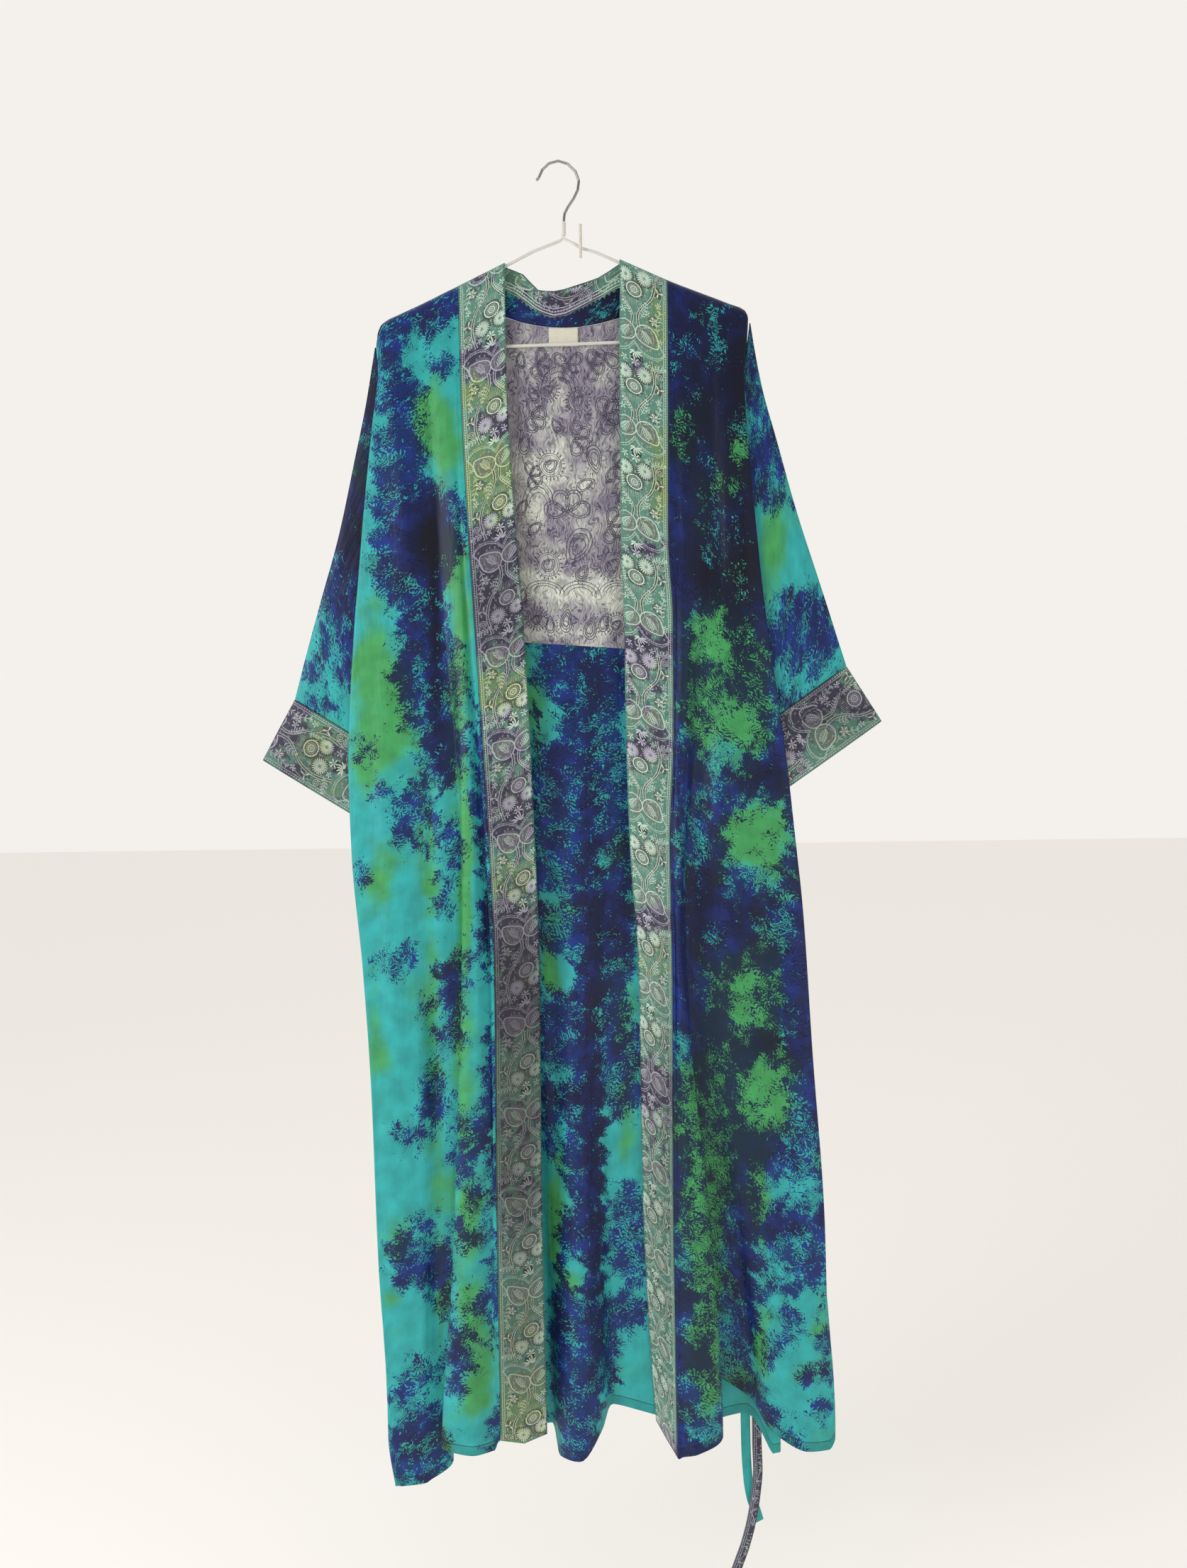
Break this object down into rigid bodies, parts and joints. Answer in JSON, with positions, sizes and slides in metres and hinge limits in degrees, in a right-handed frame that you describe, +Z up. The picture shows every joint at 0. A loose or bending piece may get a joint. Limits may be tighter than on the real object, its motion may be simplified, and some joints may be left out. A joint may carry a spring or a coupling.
{
  "type": "kimono robe",
  "caption": "Long open kimono robe of dyed silk with brocade bands and cuffs, side slits, a yoke and a belt, hung on a wire hanger from a small wall hook.",
  "frame": {"origin": "root of the wall hook's shank, on the plane of the wall", "axes": "+Z up; +X to the viewer's right, the wearer's left; the wall is the plane Y = 0 and the robe's front faces -Y"},
  "size_m": [0.7484, 0.0626, 1.7588],
  "materials": {
    "front_right": "thin dyed silk, soft sheen",
    "front_left": "thin dyed silk, soft sheen",
    "back": "thin dyed silk, soft sheen",
    "yoke": "thin printed silk, matt",
    "band": "overdyed woven brocade",
    "sleeve": "thin dyed silk, soft sheen",
    "cuff": "overdyed woven brocade",
    "label": "woven tape, matt",
    "belt": "dyed silk and brocade",
    "coated_wire": "white plastic coat on steel wire",
    "steel_wire": "bare galvanised wire",
    "wall_hook": "cream painted wire"
  },
  "bodies": {
    "root": {"back": "back", "yoke": "yoke", "label": "label", "front_right": "front_right", "front_left": "front_left", "band_right": "band", "band_left": "band", "band_neck": "band", "sleeve_right": "sleeve", "sleeve_left": "sleeve", "cuff_right": "cuff", "cuff_left": "cuff", "belt": "belt", "belt_carrier": "belt", "hanger_frame": "coated_wire", "hanger_neck": "coated_wire", "hanger_hook": "steel_wire", "wall_hook": "wall_hook"}
  },
  "joints": []
}
